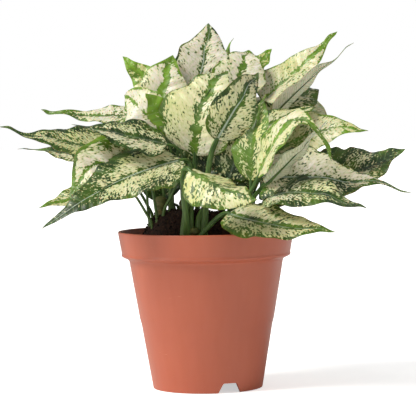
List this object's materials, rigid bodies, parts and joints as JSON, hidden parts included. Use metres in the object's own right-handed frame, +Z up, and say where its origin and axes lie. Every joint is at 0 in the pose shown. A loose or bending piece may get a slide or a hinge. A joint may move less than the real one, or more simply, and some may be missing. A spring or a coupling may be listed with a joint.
{
  "type": "potted chinese evergreen",
  "caption": "Bushy potted foliage plant with broad pointed cream and green leaves on short canes, in a round terracotta-coloured plastic nursery pot.",
  "frame": {"origin": "on the pot's axis, at the foot where it stands", "axes": "+Z up, +X to the viewer's right and -Y towards the viewer when the plant is seen from the front"},
  "size_m": [0.343, 0.276, 0.312],
  "materials": {
    "pot_plastic": "satin moulded polypropylene, terracotta colour",
    "potting_mix": "loose dark peat with fine bark, matte",
    "cane": "green ringed stem with dry sheath ends",
    "leaf": "living leaf, cream and yellow-green centre with dark green margin and flecks, soft gloss"
  },
  "bodies": {
    "root": {"pot": "pot_plastic", "potting_mix": "potting_mix", "cane_front": "cane", "cane_left": "cane", "cane_right": "cane", "cane_far_right": "cane", "cane_rear_left": "cane", "cane_rear_right": "cane", "leaf_low_left": "leaf", "leaf_front_fold": "leaf", "leaf_centre_broad": "leaf", "leaf_centre_silver": "leaf", "leaf_over_rim": "leaf", "leaf_right_upright": "leaf", "leaf_right_arch": "leaf", "leaf_right_pale": "leaf", "leaf_right_cream": "leaf", "leaf_right_low": "leaf", "leaf_right_far": "leaf", "leaf_right_point": "leaf", "leaf_horn_pale": "leaf", "leaf_right_edge": "leaf", "leaf_left_round": "leaf", "leaf_shoulder_tip": "leaf", "leaf_left_dark": "leaf", "leaf_left_far": "leaf", "leaf_left_pale": "leaf", "leaf_left_thin": "leaf", "leaf_top": "leaf", "leaf_shoulder_round": "leaf", "leaf_peak": "leaf", "leaf_top_round": "leaf", "leaf_horn": "leaf", "leaf_horn_behind": "leaf", "leaf_left_wisp": "leaf", "leaf_spike": "leaf", "leaf_top_sliver": "leaf", "leaf_top_lime": "leaf", "leaf_inner_a": "leaf", "leaf_inner_e": "leaf", "leaf_inner_f": "leaf", "leaf_inner_b": "leaf", "leaf_inner_c": "leaf", "leaf_inner_d": "leaf", "leaf_inner_g": "leaf", "leaf_inner_h": "leaf", "leaf_inner_i": "leaf", "leaf_back_right": "leaf", "leaf_back_half_right": "leaf", "leaf_back_middle": "leaf", "leaf_back_half_left": "leaf", "leaf_back_left": "leaf", "leaf_back_far_left": "leaf", "leaf_high_right": "leaf", "leaf_high_half_right": "leaf", "leaf_high_back": "leaf", "leaf_high_half_left": "leaf", "leaf_high_left": "leaf", "leaf_high_upright": "leaf"}
  },
  "joints": []
}
